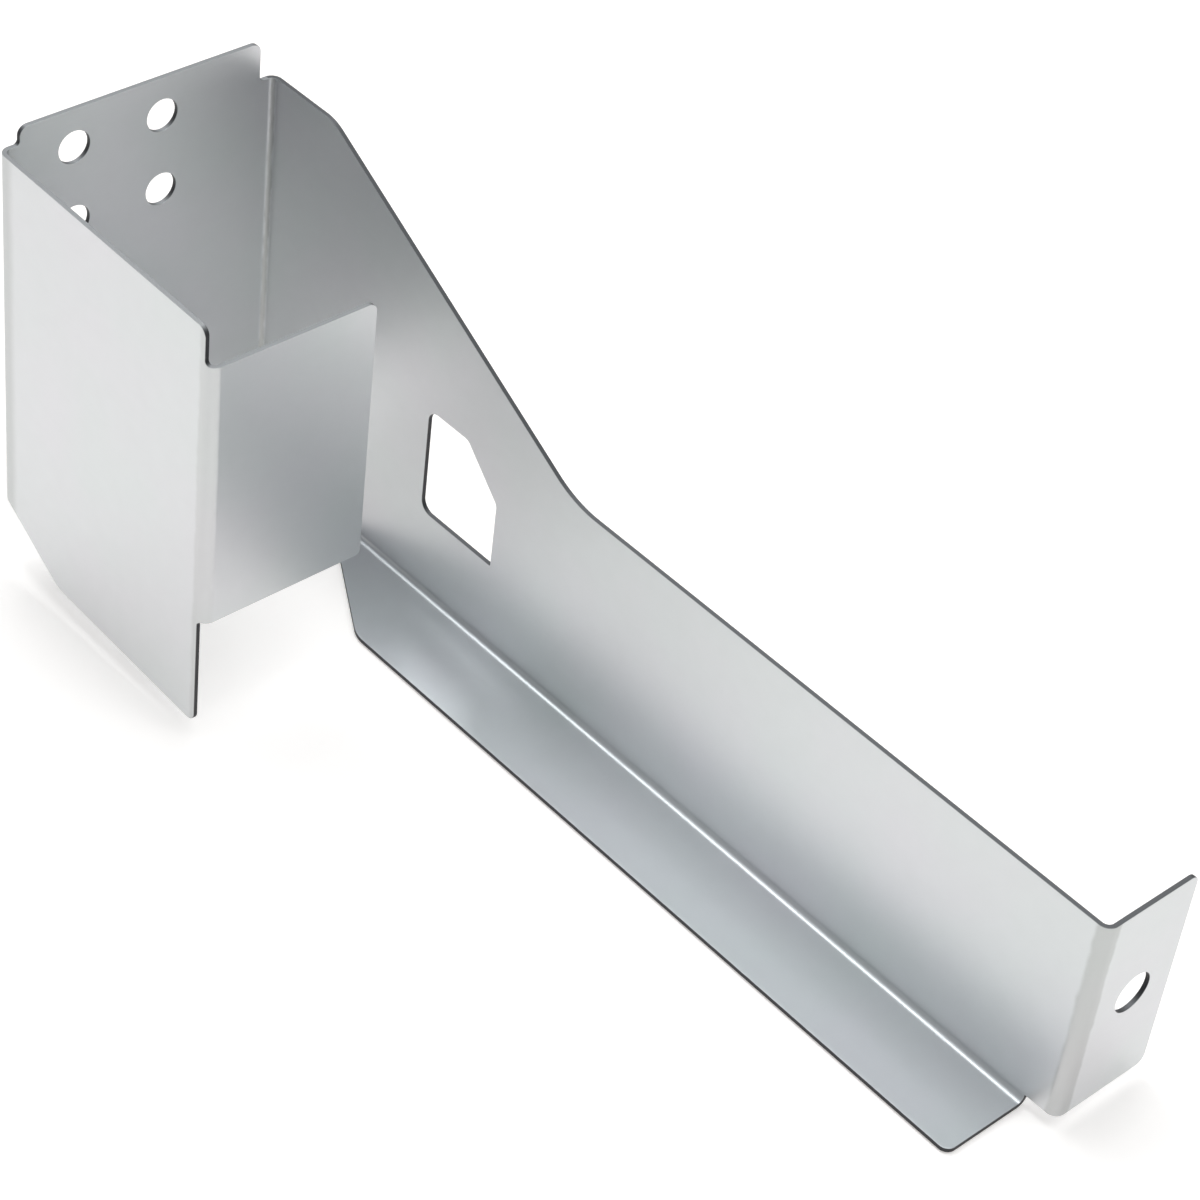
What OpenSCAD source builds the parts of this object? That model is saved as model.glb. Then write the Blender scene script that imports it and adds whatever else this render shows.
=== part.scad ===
// Mounting bracket folded from one steel sheet.
// A back plate with four bolt holes carries an open box on its left and a long arm on its right.
// X runs to the right, Y runs back to the mounting face, Z runs up.
// The origin is the centre of the four bolt holes, on the face that lies against the wall.
// Heights are measured from the underside of the arm's flange, depths forward from the mounting face,
// and widths from the outer face of the left wall.

/* [Sheet] */
// Thickness of the sheet
sheet_t = 1.5; // [1:0.1:2]
// Inside radius of every bend
bend_r = 2; // [1.5:0.5:3]
// Radius on the free corners of the panels
corner_r = 3; // [1:0.5:4]
// Radius at the foot of each bend relief
relief_r = 1.5; // [0.5:0.25:2]

/* [Back plate] */
// Width over the left wall and the arm
box_w = 95.5; // [90:0.5:120]
// Height of the top edge of the raised tab
plate_top = 152.5; // [120:0.5:170]
// Height of the lower edge
plate_bottom = 26; // [18:0.5:34]
// Flat left between each bend and the side of the raised tab
tab_gap = 3; // [2:0.5:8]

/* [Bolt holes] */
// Diameter of the four holes
bolt_d = 10.5; // [5:0.5:13]
// Spacing across
bolt_across = 30; // [20:0.5:34]
// Spacing up
bolt_up = 25; // [18:0.5:32]
// Outer face of the left wall to the centre of the four holes
bolt_from_wall = 39.5; // [34:0.5:50]
// Top edge of the raised tab down to the centre of the four holes
bolt_from_top = 25; // [24:0.5:40]

/* [Left wall] */
// Drop from the top of the raised tab to the wall's top edge at the back
wall_drop_back = 5.5; // [4.5:0.5:12]
// Drop from the top of the raised tab to the wall's top edge at the front
wall_drop_front = 7.5; // [4:0.5:14]
// Depth at which the rising lower edge begins
wall_rise_at = 28.5; // [22:0.5:50]
// Height of the lower edge there
wall_rise_z = 9; // [7:0.5:16]
// Height of the lower edge at the front tip
wall_tip_z = 5.8; // [3:0.1:9]
// Radius where the lower edge starts to rise
wall_rise_r = 10; // [2:1:20]

/* [Front flange] */
// Depth of the box over the back plate and the front flange
box_d = 98.5; // [85:0.5:130]
// Width over the left wall
front_w = 55.5; // [40:0.5:75]
// Drop from the top of the raised tab to its top edge
front_drop = 19; // [12:0.5:50]
// Height of its lower edge
front_bottom = 44.5; // [30:0.5:60]
// Radius on its lower free corner
front_foot_r = 1.5; // [0.5:0.5:4]

/* [Arm] */
// Mounting face to the outer face of the end tab
arm_len = 346.5; // [300:0.5:420]
// Drop from the top of the raised tab to the arm's top edge beside the back plate
arm_drop = 13; // [6:0.5:30]
// Height of the top edge along the front stretch
arm_top_front = 75.5; // [74:0.5:90]
// Depth at which the top edge starts to fall
fall_start = 29; // [20:0.5:40]
// Depth at which the top edge runs level again
fall_end = 143.5; // [135:0.5:180]
// Radius at the upper end of the falling edge
fall_top_r = 15; // [5:1:30]
// Radius at the lower end of the falling edge
fall_foot_r = 35; // [5:1:40]
// Height of the web's lower edge past the flange, above the top of the fold
web_rise = 0.6; // [0.5:0.1:4]

/* [Window] */
// Depth of its back edge
window_at = 80.5; // [60:0.5:90]
// Length along the arm
window_len = 32; // [24:0.5:34]
// Height of its lower edge
window_bottom = 31; // [22:0.5:32]
// Height of the opening
window_h = 37.5; // [30:0.5:38]
// Size of the cut-off upper front corner
window_cut = 14.5; // [8:0.5:18]
// Radius in its two back corners
window_r = 4; // [1:0.5:6]
// Radius at the cut-off corner
window_cut_r = 3; // [2:0.5:8]

/* [Arm flange] */
// Width over the arm
flange_w = 30.5; // [20:0.5:36]
// Depth at which the flange begins at its fold
flange_start = 37; // [32:0.5:60]
// Depth at which the flange reaches its full width
flange_full = 88.5; // [75:0.5:110]
// Flat web left between the flange's front end and the end tab's bend
flange_gap = 7.5; // [2:0.5:20]
// Radius where the slanting start meets the long edge
flange_back_r = 12; // [2:1:15]

/* [End tab] */
// Reach past the outer face of the arm
end_reach = 33.5; // [30:0.5:50]
// Diameter of its hole
end_hole_d = 13; // [6:0.5:16]
// Outer face of the arm to the centre of the hole
end_hole_out = 18; // [16:0.5:20]
// Height of the centre of the hole
end_hole_z = 41; // [25:0.5:55]

/* [Hidden] */
$fn = 96;
// The left wall's front cuts lie this far past the start of its bend.
wall_run = 0.4;
bend_out = bend_r + sheet_t;
bolt_z = plate_top - bolt_from_top;
wall_top_back = plate_top - wall_drop_back;
wall_top_front = plate_top - wall_drop_front;
front_top = plate_top - front_drop;
arm_top_back = plate_top - arm_drop;
wall_front = box_d - bend_out + wall_run;
web_bottom = bend_out + web_rise;
tab_left = bend_out + tab_gap;
tab_right = box_w - tab_left;
flange_end = arm_len - bend_out - flange_gap;
spare = 5;
hair = 0.0001;

// The outlines are lists of corners, each [u, v] or [u, v, radius].
function unit(v) = v / norm(v);
function corner(pts, i) = let (p = pts[(i + len(pts)) % len(pts)]) [p.x, p.y];
function radius(p) = len(p) > 2 ? p[2] : 0;
function cross_at(pts, i) = cross(corner(pts, i) - corner(pts, i - 1), corner(pts, i + 1) - corner(pts, i));
function twice_area(pts, i = 0) =
    i == len(pts) ? 0 : cross(corner(pts, i), corner(pts, i + 1)) + twice_area(pts, i + 1);

// The sliver between the corner b of a, b, c and the arc of radius r that rounds it.
// On a slanting corner the circle is larger by a hair, so that it crosses both edges cleanly.
module corner_sliver(a, b, c, r) {
    to_a = unit(a - b);
    to_c = unit(c - b);
    half = acos(to_a * to_c) / 2;
    inward = unit(to_a + to_c);
    slanting = abs(to_a * to_c) > hair;
    translate(b) difference() {
        polygon([to_a * r / tan(half), -inward * r / 4, to_c * r / tan(half)]);
        translate(inward * r / sin(half)) circle(slanting ? r + hair : r);
    }
}

// Slivers of the corners that turn the given way: 1 for outward corners, -1 for inward ones
module slivers(pts, way) {
    order = sign(twice_area(pts));
    for (i = [0 : len(pts) - 1])
        if (radius(pts[i]) > 0 && cross_at(pts, i) * order * way > 0)
            corner_sliver(corner(pts, i - 1), corner(pts, i), corner(pts, i + 1), radius(pts[i]));
}

// Outline with its outward corners cut round and its inward corners filled round
module outline(pts) {
    difference() {
        union() {
            polygon([for (p = pts) [p.x, p.y]]);
            slivers(pts, -1);
        }
        slivers(pts, 1);
    }
}

// Panel that faces the front: an outline in X and Z, from depth d forward by one thickness
module front_panel(d) {
    translate([0, -d, 0]) rotate([90, 0, 0]) linear_extrude(sheet_t) children();
}

// Solid seen from the side: an outline in Y and Z, from x0 over the width w
module side_block(x0, w) {
    translate([x0, 0, 0]) rotate([90, 0, 90]) linear_extrude(w) children();
}

// Back plate between its two bends, with the raised tab and the four bolt holes
module back_plate() {
    front_panel(0) difference() {
        outline([
            [bend_out, plate_bottom],
            [box_w - bend_out, plate_bottom],
            [box_w - bend_out, arm_top_back],
            [tab_right, arm_top_back, relief_r],
            [tab_right, plate_top, corner_r],
            [tab_left, plate_top, corner_r],
            [tab_left, wall_top_back, relief_r],
            [bend_out, wall_top_back]
        ]);
        for (sx = [-1, 1], sz = [-1, 1])
            translate([bolt_from_wall + sx * bolt_across / 2, bolt_z + sz * bolt_up / 2])
                circle(d = bolt_d);
    }
}

// Left wall with the bends at its back and front: a channel seen from above, cut to its side outline
module left_wall() {
    intersection() {
        linear_extrude(plate_top) outline([
            [bend_out, 0],
            [0, 0, bend_out],
            [0, -box_d, bend_out],
            [bend_out, -box_d],
            [bend_out, sheet_t - box_d],
            [sheet_t, sheet_t - box_d, bend_r],
            [sheet_t, -sheet_t, bend_r],
            [bend_out, -sheet_t]
        ]);
        side_block(-spare, bend_out + 2 * spare) outline([
            [spare, plate_bottom],
            [-sheet_t, plate_bottom],
            [-wall_rise_at, wall_rise_z, wall_rise_r],
            [-wall_front, wall_tip_z, corner_r],
            [-wall_front, front_bottom, relief_r],
            [-box_d - spare, front_bottom],
            [-box_d - spare, front_top],
            [-wall_front, front_top, relief_r],
            [-wall_front, wall_top_front, corner_r],
            [-bend_out, wall_top_back],
            [spare, wall_top_back]
        ]);
    }
}

// Front flange past its bend
module front_flange() {
    front_panel(box_d - sheet_t) outline([
        [bend_out, front_bottom],
        [front_w, front_bottom, front_foot_r],
        [front_w, front_top, corner_r],
        [bend_out, front_top]
    ]);
}

// Arm with the bend at its back and the outward bend at its front
module arm() {
    intersection() {
        linear_extrude(plate_top) outline([
            [box_w - bend_out, 0],
            [box_w, 0, bend_out],
            [box_w, sheet_t - arm_len, bend_r],
            [box_w + bend_r, sheet_t - arm_len],
            [box_w + bend_r, -arm_len],
            [box_w - sheet_t, -arm_len, bend_out],
            [box_w - sheet_t, -sheet_t, bend_r],
            [box_w - bend_out, -sheet_t]
        ]);
        side_block(box_w - bend_out - spare, 2 * bend_out + 2 * spare) difference() {
            outline([
                [spare, plate_bottom],
                [-sheet_t, plate_bottom],
                [-flange_start, bend_out],
                [-flange_end, bend_out],
                [-flange_end, web_bottom],
                [-arm_len - spare, web_bottom],
                [-arm_len - spare, arm_top_front],
                [-fall_end, arm_top_front, fall_foot_r],
                [-fall_start, arm_top_back, fall_top_r],
                [spare, arm_top_back]
            ]);
            window();
        }
    }
}

// Five-sided window in the arm, its upper front corner cut off
module window() {
    front = window_at + window_len;
    top = window_bottom + window_h;
    outline([
        [-window_at, window_bottom, window_r],
        [-window_at, top, window_r],
        [window_cut - front, top, window_cut_r],
        [-front, top - window_cut, window_cut_r],
        [-front, window_bottom]
    ]);
}

// Flange folded under the box side of the arm, with its fold: an angle cut to its outline from above
module arm_flange() {
    intersection() {
        translate([0, -flange_start + spare, 0]) rotate([90, 0, 0])
            linear_extrude(flange_end - flange_start + 2 * spare) outline([
                [box_w, bend_out],
                [box_w, 0, bend_out],
                [box_w - flange_w, 0],
                [box_w - flange_w, sheet_t],
                [box_w - sheet_t, sheet_t, bend_r],
                [box_w - sheet_t, bend_out]
            ]);
        translate([0, 0, -spare]) linear_extrude(bend_out + spare) outline([
            [box_w, -flange_start],
            [box_w - flange_w, -flange_full, flange_back_r],
            [box_w - flange_w, -flange_end, corner_r],
            [box_w, -flange_end]
        ]);
    }
}

// End tab past its bend, with its hole
module end_tab() {
    front_panel(arm_len - sheet_t) difference() {
        outline([
            [box_w + bend_r, web_bottom],
            [box_w + end_reach, web_bottom, corner_r],
            [box_w + end_reach, arm_top_front, corner_r],
            [box_w + bend_r, arm_top_front]
        ]);
        translate([box_w + end_hole_out, end_hole_z]) circle(d = end_hole_d);
    }
}

// The whole folded sheet, moved so that the origin is at the centre of the bolt holes
module folded_bracket() {
    color([0.74, 0.76, 0.77])
        translate([-bolt_from_wall, 0, -bolt_z])
            union() {
                back_plate();
                left_wall();
                front_flange();
                arm();
                arm_flange();
                end_tab();
            }
}

folded_bracket();
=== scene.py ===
import math

import bpy
import numpy as np
from mathutils import Matrix, Vector
from mathutils.geometry import delaunay_2d_cdt


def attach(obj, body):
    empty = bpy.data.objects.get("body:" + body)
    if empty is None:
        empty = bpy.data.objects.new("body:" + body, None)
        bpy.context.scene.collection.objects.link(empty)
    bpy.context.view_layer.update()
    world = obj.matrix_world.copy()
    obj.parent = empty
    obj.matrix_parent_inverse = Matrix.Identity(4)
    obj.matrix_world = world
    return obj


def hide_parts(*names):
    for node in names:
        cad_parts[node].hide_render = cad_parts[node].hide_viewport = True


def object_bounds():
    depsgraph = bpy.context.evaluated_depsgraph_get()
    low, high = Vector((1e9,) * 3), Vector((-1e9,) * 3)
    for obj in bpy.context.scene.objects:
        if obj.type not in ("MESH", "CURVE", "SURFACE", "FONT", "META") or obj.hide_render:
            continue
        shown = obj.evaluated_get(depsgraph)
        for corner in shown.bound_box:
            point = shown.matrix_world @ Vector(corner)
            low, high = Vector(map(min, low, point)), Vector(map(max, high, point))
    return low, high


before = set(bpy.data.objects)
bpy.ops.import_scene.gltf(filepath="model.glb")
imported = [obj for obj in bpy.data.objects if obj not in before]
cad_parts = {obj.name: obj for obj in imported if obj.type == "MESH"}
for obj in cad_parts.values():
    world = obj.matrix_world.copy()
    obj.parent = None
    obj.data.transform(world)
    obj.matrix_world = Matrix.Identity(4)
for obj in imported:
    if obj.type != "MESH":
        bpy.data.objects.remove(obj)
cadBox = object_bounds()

print("stage: frame loaded")

mmPerMetre = 1000

# The bracket is made as a maker would: one flat blank, meshed in the plane, then carried round its
# bends. Lengths are in mm. Depths count forward from the mounting face, heights up from the
# flange's underside, widths from the outer face of the left wall.
blank = {
    "thickness": 1.5, "bendRadius": 2.0, "cornerRadius": 3.0, "reliefRadius": 1.5,
    "edgeRadius": 0.16,  # rounding of the cut edges across the sheet
    "slopeRadius": 1.0,  # where a slanting lower edge meets a bend
    "boxWidth": 95.5, "boxDepth": 98.5, "plateTop": 152.5, "plateBottom": 26.0, "tabGap": 3.0,
    "boltDiameter": 10.5, "boltAcross": 30.0, "boltUp": 25.0,
    "holeCentre": (39.5, 0.0, 127.5),  # where the part's origin lies
    "wallTopBack": 147.0, "wallTopFront": 145.0, "wallTopRadius": 20.0,
    "wallRiseAt": 28.5, "wallRiseHeight": 9.0, "wallRiseRadius": 10.0, "wallTipHeight": 5.8,
    "wallRun": 0.4,  # how far the wall's front cuts lie past the start of its bend
    "frontWidth": 55.5, "frontTop": 133.5, "frontBottom": 44.5, "frontFootRadius": 1.5,
    "armLength": 346.5, "armTopBack": 139.5, "armTopFront": 75.5,
    "fallStart": 29.0, "fallEnd": 143.5, "fallTopRadius": 15.0, "fallFootRadius": 35.0,
    "webBottom": 4.1, "webRadius": 0.4,
    "windowAt": 80.5, "windowLength": 32.0, "windowBottom": 31.0, "windowHeight": 37.5,
    "windowCut": 14.5, "windowRadius": 4.0, "windowCutRadius": 3.0, "windowSharpRadius": 0.6,
    "flangeWidth": 30.5, "flangeStart": 37.0, "flangeFull": 88.5, "flangeGap": 7.5,
    "flangeBackRadius": 12.0, "flangeFootRadius": 0.5,
    "flangeFootRun": 0.3,  # how far past its start the flange's slanting cut meets the bend
    "endReach": 33.5, "endHoleDiameter": 13.0, "endHoleOut": 18.0, "endHoleHeight": 41.0,
    # Upward cuts get painted light: they are painted paler by this power of how far they face up,
    # and those of the arm and the tab only by a share of it
    "upLightPower": 4, "armCutLightShare": 0.3,
}

# How finely the blank is meshed: steps of arcs, lengths in mm
blankMesh = {
    "gridStep": 6.0, "bendSteps": 14, "arcSteps": 14, "holeSteps": 96, "edgeSteps": 4,
    "nearEdge": 1.2,  # grid points keep this far from the edges
    "rowAfter": 3.0, "rowBefore": 1.0,  # gaps after an edge or bend and before the foot's bend
    "lineOver": 5.0,  # how far the band's bend lines run past the blank
    "footBefore": 6.0, "footShort": 2.0,  # how far the foot's start and end beside the flange
    "leastSpan": 1e-9, "leastPart": 1e-6, "leastStep": 0.01, "joinWithin": 1e-5,
    "runLength": 2000,  # points tested at a time
}

bendOut = blank["bendRadius"] + blank["thickness"]
bendMiddle = blank["bendRadius"] + blank["thickness"] / 2
bendLength = bendMiddle * math.pi / 2

# The band runs front flange, left wall, back plate, arm, end tab, with a bend between each two
bandLengths = np.array([
    blank["frontWidth"] - bendOut, bendLength,
    blank["boxDepth"] - 2 * bendOut, bendLength,
    blank["boxWidth"] - 2 * bendOut, bendLength,
    blank["armLength"] - 2 * bendOut, bendLength,
    blank["endReach"] - blank["bendRadius"]])
bandTurns = np.radians([0, -90, 0, -90, 0, -90, 0, 90, 0])
bandStarts = np.concatenate([[0], np.cumsum(bandLengths)])
bandFlats = (0, 2, 4, 6, 8)
bandBends = (1, 3, 5, 7)
leftWall, backPlate, arm, endTab = bandFlats[1:]
backBend, armBend = bandBends[1:3]


# A bent line is flats and arcs joined end to end. After s of a stretch with curvature k that starts
# at the heading h, the way gone is s * sin(k s / 2) / (k s / 2), in the direction h + k s / 2.
def goneAlong(s, curvature, heading):
    chord = s * np.sinc(curvature * s / (2 * np.pi))
    middle = heading + curvature * s / 2
    return np.stack([chord * np.cos(middle), chord * np.sin(middle)], -1)


bandCurvatures = bandTurns / bandLengths
bandHeadings = np.pi + np.concatenate([[0], np.cumsum(bandTurns)[:-1]])
bandPlaces = np.array([
    blank["frontWidth"], blank["thickness"] / 2 - blank["boxDepth"]]) + np.concatenate([
        [[0, 0]], np.cumsum(goneAlong(bandLengths, bandCurvatures, bandHeadings), 0)[:-1]])


# Folds the blank. u runs along the band and v up. The band's plan gives the place and heading at u;
# below the foot's bend line the sheet turns a quarter round towards the box, and v is the length
# along that section. Returns the place on the middle of the sheet, the folded directions of u and v,
# and the outward normal.
def fold(u, v):
    at = np.clip(np.searchsorted(bandStarts, u, "right") - 1, 0, len(bandLengths) - 1)
    s = u - bandStarts[at]
    plan = bandPlaces[at] + goneAlong(s, bandCurvatures[at], bandHeadings[at])
    heading = bandHeadings[at] + bandCurvatures[at] * s
    zero = np.zeros_like(u)
    up = np.stack([zero, zero, zero + 1], -1)
    along = np.stack([np.cos(heading), np.sin(heading), zero], -1)
    outward = np.stack([-np.sin(heading), np.cos(heading), zero], -1)
    past = np.clip(bendOut - v, 0, None)
    arc = np.clip(past, 0, bendLength)
    gone = goneAlong(arc, 1 / bendMiddle, 0) + np.stack([zero, past - arc], -1)
    angle = (arc / bendMiddle)[:, None]
    height = np.where(v > bendOut, v, bendOut - gone[:, 0])
    place = np.concatenate([plan, height[:, None]], -1) - outward * gone[:, 1:]
    upward = up * np.cos(angle) + outward * np.sin(angle)
    normal = outward * np.cos(angle) - up * np.sin(angle)
    return place, along, upward, normal


# Where a length on a panel lies in the blank: the panel's start plus that length, less the share of
# it that the bend takes up. The wall is met from its front end, and the flange runs down along v.
def onWall(depth):
    return bandStarts[leftWall] + blank["boxDepth"] - bendOut - depth


def onBack(width):
    return bandStarts[backPlate] + width - bendOut


def onArm(depth):
    return bandStarts[arm] + depth - bendOut


def onTab(reach):
    return bandStarts[endTab] + reach - blank["bendRadius"]


def onFlange(width):
    return bendOut - bendLength - (width - bendOut)


# The outline through corners [u, v, radius]: each corner is the arc that touches both of its edges.
# The arc's centre lies on the corner's bisector at radius / sin(half angle), and the arc sweeps
# through the turn.
def roundedLoop(corners, steps):
    corners = np.array(corners, float)
    p, r = corners[:, :2], corners[:, 2]
    back = np.roll(p, 1, 0) - p
    ahead = np.roll(p, -1, 0) - p
    back /= np.linalg.norm(back, axis=1)[:, None]
    ahead /= np.linalg.norm(ahead, axis=1)[:, None]
    half = np.arccos(np.clip((back * ahead).sum(1), -1, 1)) / 2
    middle = back + ahead
    middle /= np.linalg.norm(middle, axis=1)[:, None]
    centre = p + middle * (r / np.sin(half))[:, None]
    first = p + back * (r / np.tan(half))[:, None] - centre
    turn = np.sign(ahead[:, 0] * back[:, 1] - ahead[:, 1] * back[:, 0]) * (np.pi - 2 * half)
    start = np.arctan2(first[:, 1], first[:, 0])
    angle = start[:, None] + turn[:, None] * np.linspace(0, 1, steps)
    arc = r[:, None, None] * np.stack([np.cos(angle), np.sin(angle)], -1)
    return (centre[:, None] + arc).reshape(-1, 2)


# A circle as points at equal angles
def roundHole(u, v, diameter):
    steps = blankMesh["holeSteps"]
    angle = np.arange(steps) * 2 * np.pi / steps
    return np.stack([u + diameter / 2 * np.cos(angle), v + diameter / 2 * np.sin(angle)], -1)


# Moves a closed loop sideways. Each point goes along the sum of its two edges' unit normals, divided
# by one plus their product, so that both edges move by the distance. Positive is to the right.
def movedLoop(loop, distance):
    edge = np.roll(loop, -1, 0) - loop
    edge /= np.linalg.norm(edge, axis=1)[:, None]
    right = np.stack([edge[:, 1], -edge[:, 0]], -1)
    before = np.roll(right, 1, 0)
    return loop + distance * (before + right) / (1 + (before * right).sum(1))[:, None]


# Half the sum of the cross products of neighbouring points, positive for a counterclockwise loop
def signedArea(loop):
    ahead = np.roll(loop, -1, 0)
    return (loop[:, 0] * ahead[:, 1] - loop[:, 1] * ahead[:, 0]).sum() / 2


# Adds the points where a closed loop's edges cross the given lines u = const and v = const, each at
# its part of the way along the edge, and leaves out points that all but coincide with the next one
def crossedLoop(loop, uLines, vLines):
    ahead = np.roll(loop, -1, 0)
    marks = [np.arange(len(loop), dtype=float)]
    least = blankMesh["leastPart"]
    for axis, lines in ((0, uLines), (1, vLines)):
        start, end = loop[:, axis][:, None], ahead[:, axis][:, None]
        slants = np.abs(end - start) > blankMesh["leastSpan"]
        part = (lines[None] - start) / np.where(slants, end - start, 1)
        crossing = (part > least) & (part < 1 - least) & slants
        marks.append((np.arange(len(loop))[:, None] + part)[crossing])
    mark = np.sort(np.concatenate(marks))
    mark = mark[np.concatenate([[True], np.diff(mark) > least])]
    whole = np.floor(mark).astype(int)
    part = (mark - whole)[:, None]
    points = loop[whole] * (1 - part) + ahead[whole] * part
    steps = np.linalg.norm(np.roll(points, -1, 0) - points, axis=1)
    return points[steps > blankMesh["leastStep"]]


# The numbers below count in runs, which keep the tables of points against edges small
def shortRuns(count):
    return np.array_split(np.arange(count), max(1, count // blankMesh["runLength"]))


# Even-odd test: a point is inside if a ray from it crosses the loops' edges an odd number of times
def insideLoops(points, loops):
    start = np.concatenate(loops)
    end = np.concatenate([np.roll(loop, -1, 0) for loop in loops])
    result = np.zeros(len(points), int)
    for run in shortRuns(len(points)):
        x, y = points[run, 0][:, None], points[run, 1][:, None]
        spans = (start[:, 1] > y) != (end[:, 1] > y)
        rise = np.where(end[:, 1] != start[:, 1], end[:, 1] - start[:, 1], 1)
        meets = start[:, 0] + (y - start[:, 1]) / rise * (end[:, 0] - start[:, 0])
        result[run] = (spans & (meets > x)).sum(1)
    return result % 2 == 1


# Distance from each point to the nearest of the places
def awayFrom(points, places):
    nearest = np.empty(len(points))
    for run in shortRuns(len(points)):
        nearest[run] = np.linalg.norm(points[run][:, None] - places[None], axis=2).min(1)
    return nearest


# The blank's outline and holes, from corners [u, v, radius]. Slanting lower edges run on to the
# bends by their slope: the height they fall divided by the depth they run.
def blankLoops():
    corner, relief, slope = blank["cornerRadius"], blank["reliefRadius"], blank["slopeRadius"]
    tabLeft = bendOut + blank["tabGap"]
    tabRight = blank["boxWidth"] - bendOut - blank["tabGap"]
    flangeEnd = blank["armLength"] - bendOut - blank["flangeGap"]
    flangeEdge = onFlange(blank["flangeWidth"])
    wallFront = bandStarts[leftWall] - bendMiddle * math.asin(blank["wallRun"] / bendMiddle)
    # Along the arc from a side panel's end to the plate's inner face
    cutIn = bendMiddle * math.asin(blank["bendRadius"] / bendMiddle)
    wallSlope = (blank["plateBottom"] - blank["wallRiseHeight"]) / (
        blank["wallRiseAt"] - blank["thickness"])
    armSlope = (blank["plateBottom"] - bendOut) / (blank["flangeStart"] - blank["thickness"])
    flangeSlope = (blank["flangeFull"] - blank["flangeStart"]) / blank["flangeWidth"]
    footEnd = blank["flangeStart"] + bendOut * flangeSlope
    outer = [
        (0, blank["frontBottom"], blank["frontFootRadius"]),
        (wallFront, blank["frontBottom"], relief),
        (wallFront, blank["wallTipHeight"], corner),
        (onWall(blank["wallRiseAt"]), blank["wallRiseHeight"], blank["wallRiseRadius"]),
        (onWall(bendOut), blank["plateBottom"] - blank["bendRadius"] * wallSlope, slope),
        (bandStarts[backBend] + cutIn, blank["plateBottom"], slope),
        (bandStarts[arm] - cutIn, blank["plateBottom"], slope),
        (onArm(bendOut), blank["plateBottom"] - blank["bendRadius"] * armSlope, slope),
        (onArm(blank["flangeStart"] + blank["flangeFootRun"]), bendOut,
         blank["flangeFootRadius"]),
        (onArm(footEnd), bendOut - bendLength, slope),
        (onArm(blank["flangeFull"]), flangeEdge, blank["flangeBackRadius"]),
        (onArm(flangeEnd), flangeEdge, corner),
        (onArm(flangeEnd), blank["webBottom"], blank["webRadius"]),
        (onTab(blank["endReach"]), blank["webBottom"], corner),
        (onTab(blank["endReach"]), blank["armTopFront"], corner),
        (onArm(blank["fallEnd"]), blank["armTopFront"], blank["fallFootRadius"]),
        (onArm(blank["fallStart"]), blank["armTopBack"], blank["fallTopRadius"]),
        (onBack(tabRight), blank["armTopBack"], relief),
        (onBack(tabRight), blank["plateTop"], corner),
        (onBack(tabLeft), blank["plateTop"], corner),
        (onBack(tabLeft), blank["wallTopBack"], relief),
        (onWall(bendOut), blank["wallTopBack"], blank["wallTopRadius"]),
        (wallFront, blank["wallTopFront"], corner),
        (wallFront, blank["frontTop"], relief),
        (0, blank["frontTop"], corner),
    ]
    near, far = blank["windowAt"], blank["windowAt"] + blank["windowLength"]
    low, high = blank["windowBottom"], blank["windowBottom"] + blank["windowHeight"]
    window = [
        (onArm(near), low, blank["windowRadius"]),
        (onArm(far), low, blank["windowSharpRadius"]),
        (onArm(far), high - blank["windowCut"], blank["windowCutRadius"]),
        (onArm(far - blank["windowCut"]), high, blank["windowCutRadius"]),
        (onArm(near), high, blank["windowRadius"]),
    ]
    holes = [roundedLoop(window, blankMesh["arcSteps"])]
    for side in (-1, 1):
        for rise in (-1, 1):
            holes.append(roundHole(
                onBack(blank["holeCentre"][0] + side * blank["boltAcross"] / 2),
                blank["holeCentre"][2] + rise * blank["boltUp"] / 2, blank["boltDiameter"]))
    holes.append(roundHole(
        onTab(blank["endHoleOut"]), blank["endHoleHeight"], blank["endHoleDiameter"]))
    return roundedLoop(outer, blankMesh["arcSteps"]), holes


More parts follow.
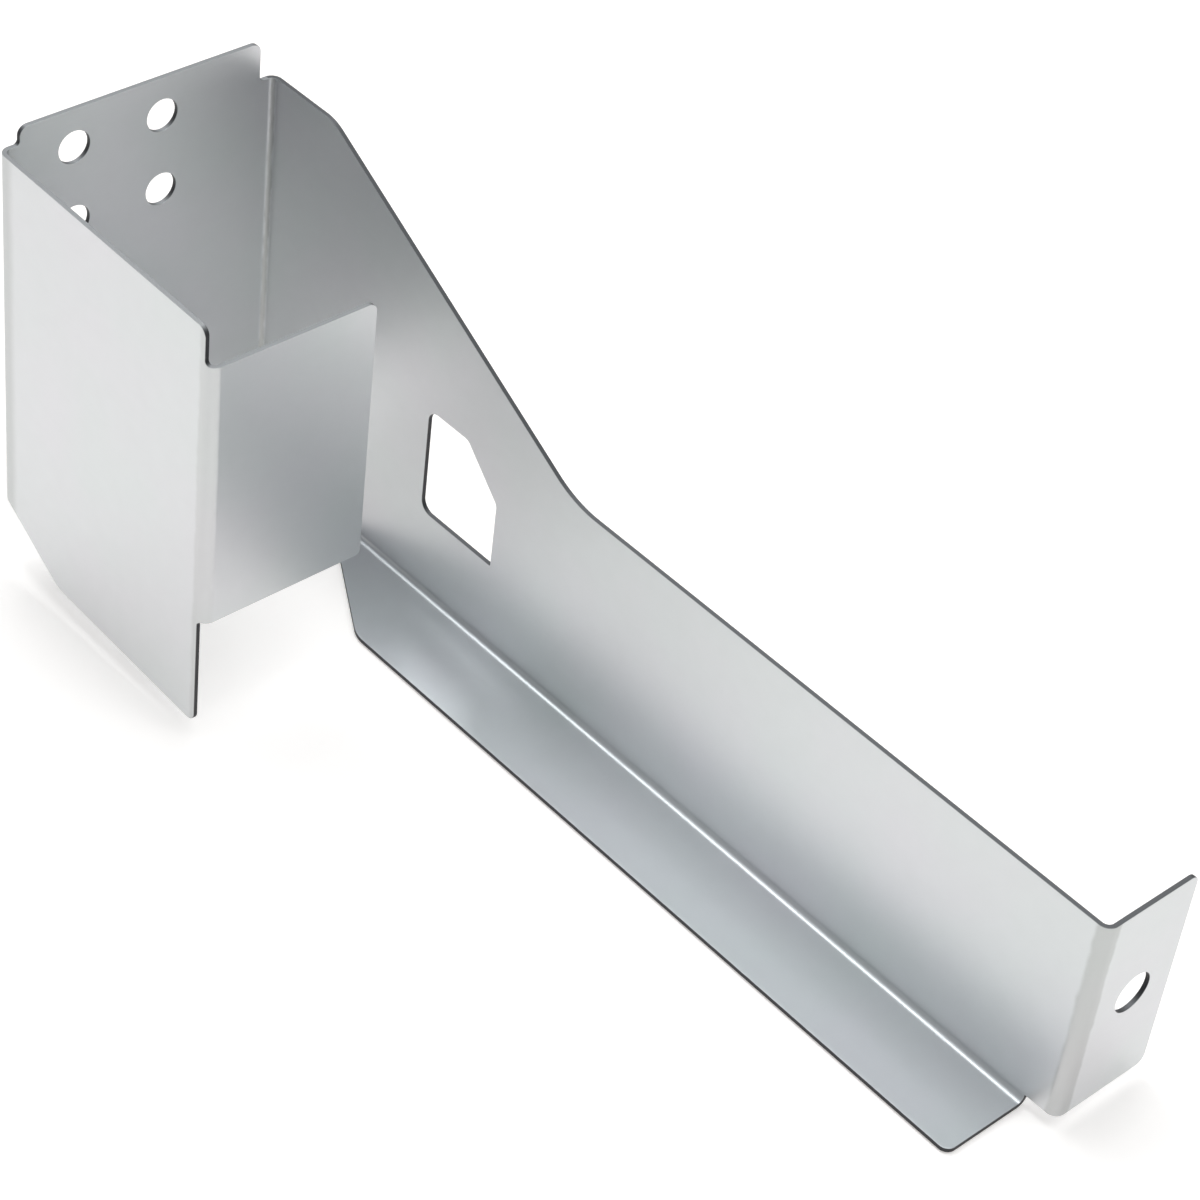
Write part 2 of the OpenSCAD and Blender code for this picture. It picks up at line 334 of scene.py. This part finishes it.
# The flat blank as triangles: the loops, set in by the edge radius, over a grid whose lines are close
# together in the bends, joined by a constrained Delaunay triangulation
def meshBlank():
    outer, holes = blankLoops()
    inset = blank["edgeRadius"]
    loops = [movedLoop(outer, -inset * np.sign(signedArea(outer)))]
    loops += [movedLoop(hole, inset * np.sign(signedArea(hole))) for hole in holes]
    steps, gridStep = blankMesh["bendSteps"], blankMesh["gridStep"]
    bendColumns = np.concatenate([
        np.linspace(bandStarts[i], bandStarts[i + 1], steps + 1) for i in bandBends])
    flatColumns = [
        np.linspace(bandStarts[i], bandStarts[i + 1], 2 + int(bandLengths[i] / gridStep))[1:-1]
        for i in bandFlats]
    columns = np.unique(np.concatenate([bendColumns] + flatColumns))
    footRows = np.linspace(bendOut - bendLength, bendOut, steps + 1)
    low, high = onFlange(blank["flangeWidth"]), blank["plateTop"]
    rows = np.concatenate([
        np.arange(low + blankMesh["rowAfter"], footRows[0] - blankMesh["rowBefore"], gridStep),
        footRows,
        np.arange(footRows[-1] + blankMesh["rowAfter"], high, gridStep)])

    loops = [crossedLoop(loop, bendColumns, footRows) for loop in loops]
    lattice = np.stack(np.meshgrid(columns, rows, indexing="ij"), -1).reshape(-1, 2)
    lattice = lattice[insideLoops(lattice, loops)]
    closeBy = np.concatenate([crossedLoop(loop, columns, rows) for loop in loops])
    lattice = lattice[awayFrom(lattice, closeBy) > blankMesh["nearEdge"]]
    print("blank grid", len(lattice), "points")

    over = blankMesh["lineOver"]
    footStart = onArm(blank["flangeStart"] - blankMesh["footBefore"])
    footStop = onArm(blank["armLength"] - bendOut - blankMesh["footShort"])
    lines = [((column, low - over), (column, high + over)) for column in bendColumns]
    lines += [((footStart, row), (footStop, row)) for row in footRows]
    lines = np.array(lines).reshape(-1, 2)
    edges, first = [], 0
    for loop in loops:
        index = first + np.arange(len(loop))
        edges.append(np.stack([index, np.roll(index, -1)], -1))
        first += len(loop)
    first += len(lattice)
    edges.append(first + np.arange(len(lines)).reshape(-1, 2))
    points = np.concatenate(loops + [lattice, lines]).tolist()
    edges = np.concatenate(edges).tolist()
    result = delaunay_2d_cdt(points, edges, [], 0, blankMesh["joinWithin"], False)

    flat = np.array([tuple(point) for point in result[0]])
    triangles = np.array(result[2])
    triangles = triangles[insideLoops(flat[triangles].mean(1), loops)]
    sides = flat[triangles]
    turn = np.cross(sides[:, 1] - sides[:, 0], sides[:, 2] - sides[:, 0])
    triangles = np.where(turn[:, None] > 0, triangles, triangles[:, ::-1])
    used, triangles = np.unique(triangles, return_inverse=True)
    return flat[used], triangles.reshape(-1, 3)


# The blank's two faces lie half a thickness either side of the folded middle. The rim between them is
# a profile carried round each loop: a quarter arc, the cut face and another quarter arc. At a lean
# from the sheet's plane the profile stands out by radius * cos(lean), and lies across the sheet at
# half the thickness less the radius, plus radius * sin(lean).
def foldedSheet(name):
    flat, triangles = meshBlank()
    count = len(flat)
    directed = np.concatenate([triangles[:, [0, 1]], triangles[:, [1, 2]], triangles[:, [2, 0]]])
    key = directed.min(1) * count + directed.max(1)
    place, times = np.unique(key, return_inverse=True, return_counts=True)[1:]
    rimEdges = directed[times[place] == 1]
    edge = flat[rimEdges[:, 1]] - flat[rimEdges[:, 0]]
    edge /= np.linalg.norm(edge, axis=1)[:, None]
    right = np.stack([edge[:, 1], -edge[:, 0]], -1)
    after, before = np.zeros((count, 2)), np.zeros((count, 2))
    after[rimEdges[:, 0]] = right
    before[rimEdges[:, 1]] = right
    rim = np.unique(rimEdges)
    miter = (before + after)[rim] / (1 + (before * after).sum(1)[rim])[:, None]
    facing = miter / np.linalg.norm(miter, axis=1)[:, None]

    half, radius = blank["thickness"] / 2, blank["edgeRadius"]
    quarter = np.linspace(0, np.pi / 2, blankMesh["edgeSteps"] + 1)
    lean = np.concatenate([quarter - np.pi / 2, quarter])[1:-1]
    side = np.repeat([-1, 1], len(quarter))[1:-1]
    outset = radius * np.cos(lean)
    across = side * (half - radius) + radius * np.sin(lean)
    rows = len(lean)

    middle, along, upward, normal = fold(flat[:, 0], flat[:, 1])
    inner, outer = middle - half * normal, middle + half * normal
    ring = (flat[rim][:, None] + miter[:, None] * outset[None, :, None]).reshape(-1, 2)
    ringMiddle, ringAlong, ringUpward, ringNormal = fold(ring[:, 0], ring[:, 1])
    ringAcross = np.tile(across, len(rim))[:, None]
    ringLean = np.tile(lean, len(rim))[:, None]
    ringFacing = np.repeat(facing, rows, 0)
    ringPlace = ringMiddle + ringAcross * ringNormal
    ringOut = ringAlong * ringFacing[:, :1] + ringUpward * ringFacing[:, 1:]
    ringShade = ringOut * np.cos(ringLean) + ringNormal * np.sin(ringLean)

    rimNumber = np.zeros(count, int)
    rimNumber[rim] = np.arange(len(rim))
    stack = 2 * count + np.arange(rows)[:, None]
    startRows, endRows = [
        np.concatenate([ends[None], rimNumber[ends] * rows + stack, ends[None] + count])
        for ends in rimEdges.T]
    quads = np.stack([startRows[:-1], startRows[1:], endRows[1:], endRows[:-1]], -1)

    points = np.concatenate([inner, outer, ringPlace]) - np.array(blank["holeCentre"])
    shades = np.concatenate([-normal, normal, ringShade])
    blankPlace = np.concatenate([
        np.column_stack([flat, np.full(count, -half)]),
        np.column_stack([flat, np.full(count, half)]),
        np.column_stack([ring, ringAcross])])
    faceZeros = np.zeros(2 * count)
    cutEdge = np.concatenate([faceZeros, np.cos(ringLean[:, 0]) ** 2])
    # Painted light: cuts are painted paler the more they face up, and arm and tab cuts only by a
    # share of it
    cutLightShare = np.where(ring[:, 0] > bandStarts[armBend], blank["armCutLightShare"], 1)
    upLightMask = np.clip(ringOut[:, 2], 0, 1) ** blank["upLightPower"]
    cutUpLight = np.concatenate([faceZeros, upLightMask * cutLightShare])

    mesh = bpy.data.meshes.new(name)
    faces = triangles.tolist() + (triangles[:, ::-1] + count).tolist()
    faces += quads.reshape(-1, 4).tolist()
    mesh.from_pydata((points / mmPerMetre).tolist(), [], faces)
    mesh.polygons.foreach_set("use_smooth", np.ones(len(faces), bool))
    spots = mesh.attributes.new("blankPlace", "FLOAT_VECTOR", "POINT")
    spots.data.foreach_set("vector", (blankPlace / mmPerMetre).ravel())
    for title, values in (("cutEdge", cutEdge), ("cutUpLight", cutUpLight)):
        mesh.attributes.new(title, "FLOAT", "POINT").data.foreach_set("value", values)
    mesh.normals_split_custom_set_from_vertices(shades.tolist())
    mesh.update()
    piece = bpy.data.objects.new(name, mesh)
    bpy.context.scene.collection.objects.link(piece)
    print("stage:", name, "folded,", len(points), "points,", len(faces), "faces")
    return piece


# Small helpers for node trees. A socket is fed by another node's output or by a value.
def feed(tree, socket, value):
    if isinstance(value, bpy.types.NodeSocket):
        tree.links.new(value, socket)
    else:
        socket.default_value = value


def addNode(tree, kind, place=(0, 0), **settings):
    node = tree.nodes.new(kind)
    node.location = place
    for key, value in settings.items():
        if key in node.inputs:
            feed(tree, node.inputs[key], value)
        else:
            setattr(node, key, value)
    return node


def mathNode(tree, operation, *values):
    node = addNode(tree, "ShaderNodeMath", operation=operation)
    for socket, value in zip(node.inputs, values):
        feed(tree, socket, value)
    return node.outputs[0]


# A Mix node has sockets for each kind of value: its share, the two mixed and the result
mixSockets = {"FLOAT": (0, 2, 3, 0), "RGBA": (0, 6, 7, 2)}


def mixNode(tree, kind, place, *values):
    node = addNode(tree, "ShaderNodeMix", place, data_type=kind)
    *inputs, result = mixSockets[kind]
    for number, value in zip(inputs, values):
        feed(tree, node.inputs[number], value)
    return node.outputs[result]


def emptyTree(owner):
    owner.use_nodes = True
    owner.node_tree.nodes.clear()
    return owner.node_tree


zinc = {
    "colour": (0.702, 0.708, 0.713), "roughness": 0.40, "roughnessSpread": 0.05,
    # The sheared edges are bare and dull. Facing sideways they are dark, partly their own colour and
    # partly painted shade; facing up they are paler, which is painted light
    "bareShadedSideCut": (0.062, 0.062, 0.065), "litTopCut": (0.36, 0.36, 0.36), "cutRoughness": 0.55,
    # The grain: how many to a metre along and across the band, and its height in m
    "grainSize": (60.0, 900.0), "grainDetail": 3.0, "grainRoughness": 0.6,
    "grainHeight": 0.000004,
    # Faint clouds in the plating: how many to a metre, the tints between which they vary, and the
    # parts of the noise where each tint is reached
    "cloudSize": 22.0, "cloudTints": ((1.0, 0.995, 1.01), (0.98, 1.003, 0.998)),
    "cloudSpots": (0.35, 0.65), "cloudDetail": 2.0,
    "mottleSize": 150.0, "mottleShare": 0.03,
    # Painted shade darkens the plating along each bend. For each bend of the band: a shade tone, how
    # far past the bend it reaches on either side, and how softly it ends; for all, how unevenly the
    # edge runs, in m, and the power of the shade tone that blue gets
    "bendShade": (
        (0.88, -0.0004, 0.0014, 0.0008), (0.84, 0.003, 0.001, 0.002),
        (0.70, -0.0012, -0.0012, 0.0005), (0.79, 0.0002, 0.0014, 0.0007)),
    "bendWander": 0.0016, "bendBlue": 1.07,
}


# The plating reads the place on the flat blank, so that grain and clouds run round the bends. Its
# colour is the clouds' tint times the mottle and the bends' painted shade, and the cut edges' colour,
# with its painted light, is laid over it.
def zincPlate(name):
    material = bpy.data.materials.new(name)
    tree = emptyTree(material)
    place = addNode(
        tree, "ShaderNodeAttribute", (-1300, 0), attribute_name="blankPlace").outputs["Vector"]
    cut = addNode(
        tree, "ShaderNodeAttribute", (-1300, -300), attribute_name="cutEdge").outputs["Fac"]
    cutUpLight = addNode(
        tree, "ShaderNodeAttribute", (-1300, -500), attribute_name="cutUpLight").outputs["Fac"]

    along, across = zinc["grainSize"]
    stretch = addNode(
        tree, "ShaderNodeMapping", (-1000, 300), Vector=place, Scale=(along, across, across))
    grain = addNode(
        tree, "ShaderNodeTexNoise", (-800, 300), Vector=stretch.outputs[0], Scale=1.0,
        Detail=zinc["grainDetail"], Roughness=zinc["grainRoughness"]).outputs["Fac"]
    cloud = addNode(
        tree, "ShaderNodeTexNoise", (-1000, 0), Vector=place, Scale=zinc["cloudSize"],
        Detail=zinc["cloudDetail"]).outputs["Fac"]
    mottle = addNode(
        tree, "ShaderNodeTexNoise", (-1000, -200), Vector=place, Scale=zinc["mottleSize"],
        Detail=zinc["cloudDetail"]).outputs["Fac"]
    ramp = addNode(tree, "ShaderNodeValToRGB", (-600, 0), Fac=cloud)
    ends = zip(ramp.color_ramp.elements, zinc["cloudSpots"], zinc["cloudTints"])
    for element, spot, tint in ends:
        element.position = spot
        element.color = (*[part * share for part, share in zip(zinc["colour"], tint)], 1)

    # A bend's painted shade holds while the distance along the band from the middle of its reach is
    # below half the reach, and then fades
    parts = addNode(tree, "ShaderNodeSeparateXYZ", (-1000, -400), Vector=place)
    wander, share = zinc["bendWander"], zinc["mottleShare"]
    uneven = mathNode(tree, "MULTIPLY_ADD", mottle, wander, parts.outputs["X"])
    # The mottle's random tone, then each bend's painted shade multiplied in
    mottleAndBendShade = mathNode(tree, "MULTIPLY_ADD", mottle, share, 1 - share / 2)
    for bend, (shadeTone, before, after, soft) in zip(bandBends, zinc["bendShade"]):
        middle = (bandStarts[bend] + bandStarts[bend + 1]) / (2 * mmPerMetre) + (
            after - before + wander) / 2
        reach = bendLength / (2 * mmPerMetre) + (before + after) / 2
        away = mathNode(tree, "ABSOLUTE", mathNode(tree, "SUBTRACT", uneven, float(middle)))
        fade = addNode(tree, "ShaderNodeMapRange", interpolation_type="SMOOTHSTEP")
        values = (away, reach - soft, reach + soft, shadeTone, 1.0)
        for socket, value in zip(fade.inputs, values):
            feed(tree, socket, value)
        mottleAndBendShade = mathNode(tree, "MULTIPLY", mottleAndBendShade, fade.outputs[0])
    blue = mathNode(tree, "POWER", mottleAndBendShade, zinc["bendBlue"])
    mottleShadeColour = addNode(tree, "ShaderNodeCombineXYZ", (-200, -200), X=mottleAndBendShade, Y=mottleAndBendShade, Z=blue)
    plate = addNode(tree, "ShaderNodeVectorMath", operation="MULTIPLY")
    tree.links.new(ramp.outputs[0], plate.inputs[0])
    tree.links.new(mottleShadeColour.outputs[0], plate.inputs[1])

    # The cut colour with painted light: dark for cuts facing sideways, painted paler for cuts facing
    # up
    cutColourWithLight = mixNode(tree, "RGBA", (0, -300), cutUpLight, (*zinc["bareShadedSideCut"], 1), (*zinc["litTopCut"], 1))
    colour = mixNode(tree, "RGBA", (400, 0), cut, plate.outputs[0], cutColourWithLight)
    spread = zinc["roughnessSpread"]
    rough = mathNode(tree, "MULTIPLY_ADD", grain, spread, zinc["roughness"] - spread / 2)
    rough = mixNode(tree, "FLOAT", (400, -250), cut, rough, zinc["cutRoughness"])
    bump = addNode(
        tree, "ShaderNodeBump", (500, -500), Strength=1.0, Distance=zinc["grainHeight"],
        Height=grain)
    shader = addNode(
        tree, "ShaderNodeBsdfPrincipled", (800, 0), Metallic=1.0, Roughness=rough,
        Normal=bump.outputs[0])
    tree.links.new(colour, shader.inputs["Base Color"])
    addNode(tree, "ShaderNodeOutputMaterial", (1100, 0), Surface=shader.outputs[0])
    return material


sheetPiece = foldedSheet("foldedSheet")
sheetPiece.data.materials.append(zincPlate("zincPlate"))
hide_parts("folded_bracket")
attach(sheetPiece, "root")
print("stage: sheet finished")

# Camera as the photograph was taken, solved from the edges seen in it
view = {
    "place": (-0.473358, -0.659146, 0.543795), "lens": 101.60, "sensor": 36.0,
    "right": (0.74482, -0.65952, 0.10143), "up": (0.37491, 0.53935, 0.75402),
    "forward": (0.55199, 0.52358, -0.64898), "clip": (0.01, 50),
}


# The camera's matrix has its right, up and backward directions as columns
def photoCamera():
    data = bpy.data.cameras.new("photoCamera")
    data.lens = view["lens"]
    data.sensor_width = view["sensor"]
    data.sensor_fit = "HORIZONTAL"
    data.clip_start, data.clip_end = view["clip"]
    camera = bpy.data.objects.new("photoCamera", data)
    backward = [-value for value in view["forward"]]
    turn = Matrix((view["right"], view["up"], backward)).transposed()
    camera.matrix_world = Matrix.Translation(view["place"]) @ turn.to_4x4()
    bpy.context.scene.collection.objects.link(camera)
    bpy.context.scene.camera = camera


photoCamera()

# Studio: a white floor, an even pale room and soft lamps, most of their light from above
studio = {
    "floorDrop": 0.0005, "floorSize": 12.0, "floorColour": (0.95, 0.90, 0.868),
    "glowColour": (1.01, 1.0, 0.985),
    "mirrorGlow": 0.21,  # what metal sees on top of the floor's lit colour
    "cameraGlow": 0.26,  # the same for the camera, so that the backdrop is white
    "lightColour": (0.955, 1.0, 1.03), "roomLevel": 0.33,
    "lampSize": 0.9, "lampAim": (0.03, -0.15, -0.05),
    # Each lamp's place and power
    "lamps": {
        "overheadLamp": ((0.03, -0.15, 1.6), 5.8), "backLamp": ((0.03, 0.55, 1.4), 7.6),
        "frontLamp": ((0.03, -0.85, 1.4), 7.2), "rightLamp": ((1.15, 0.45, 1.1), 3.8),
        "leftLamp": ((-0.95, 0.8, 1.2), 1.6),
    },
}


# A square just below the CAD's box. Its glow is mirrorGlow for glossy and transmitted rays and
# cameraGlow for the camera's own, and light on it keeps the bracket's shadow.
def whiteFloor():
    size, low = studio["floorSize"] / 2, cadBox[0][2] - studio["floorDrop"]
    corners = [(x * size, y * size, low) for x, y in ((-1, -1), (1, -1), (1, 1), (-1, 1))]
    mesh = bpy.data.meshes.new("floor")
    mesh.from_pydata(corners, [], [(0, 1, 2, 3)])
    floor = bpy.data.objects.new("floor", mesh)
    bpy.context.scene.collection.objects.link(floor)
    material = bpy.data.materials.new("floorWhite")
    tree = emptyTree(material)
    path = addNode(tree, "ShaderNodeLightPath", (-600, 0)).outputs
    mirrored = mathNode(tree, "MAXIMUM", path["Is Glossy Ray"], path["Is Transmission Ray"])
    mirrored = mathNode(tree, "MULTIPLY", mirrored, studio["mirrorGlow"])
    seen = mathNode(tree, "MULTIPLY", path["Is Camera Ray"], studio["cameraGlow"])
    glow = addNode(
        tree, "ShaderNodeEmission", (0, -100), Color=(*studio["glowColour"], 1),
        Strength=mathNode(tree, "ADD", mirrored, seen))
    paint = addNode(
        tree, "ShaderNodeBsdfDiffuse", (0, 100), Color=(*studio["floorColour"], 1))
    both = addNode(tree, "ShaderNodeAddShader", (300, 0))
    tree.links.new(paint.outputs[0], both.inputs[0])
    tree.links.new(glow.outputs[0], both.inputs[1])
    addNode(tree, "ShaderNodeOutputMaterial", (600, 0), Surface=both.outputs[0])
    mesh.materials.append(material)


# White for the camera's own rays, and an even level for all others
def paleRoom():
    world = bpy.data.worlds.new("paleRoom")
    bpy.context.scene.world = world
    tree = emptyTree(world)
    path = addNode(tree, "ShaderNodeLightPath", (-200, 0)).outputs
    room = [part * studio["roomLevel"] for part in studio["lightColour"]]
    colour = mixNode(tree, "RGBA", (100, 0), path["Is Camera Ray"], (*room, 1), (1, 1, 1, 1))
    back = addNode(tree, "ShaderNodeBackground", (300, 0), Color=colour)
    addNode(tree, "ShaderNodeOutputWorld", (600, 0), Surface=back.outputs[0])


# A square area lamp, turned from its place towards lampAim
def softLamp(name, place, power):
    data = bpy.data.lights.new(name, "AREA")
    data.shape = "SQUARE"
    data.size = studio["lampSize"]
    data.energy = power
    data.color = studio["lightColour"]
    lamp = bpy.data.objects.new(name, data)
    backward = Vector(place) - Vector(studio["lampAim"])
    lamp.rotation_euler = backward.to_track_quat("Z", "Y").to_euler()
    lamp.location = place
    bpy.context.scene.collection.objects.link(lamp)


whiteFloor()
paleRoom()
for lampName, (lampPlace, lampPower) in studio["lamps"].items():
    softLamp(lampName, lampPlace, lampPower)
print("stage: studio ready")

bpy.context.scene.view_settings.view_transform = "Standard"
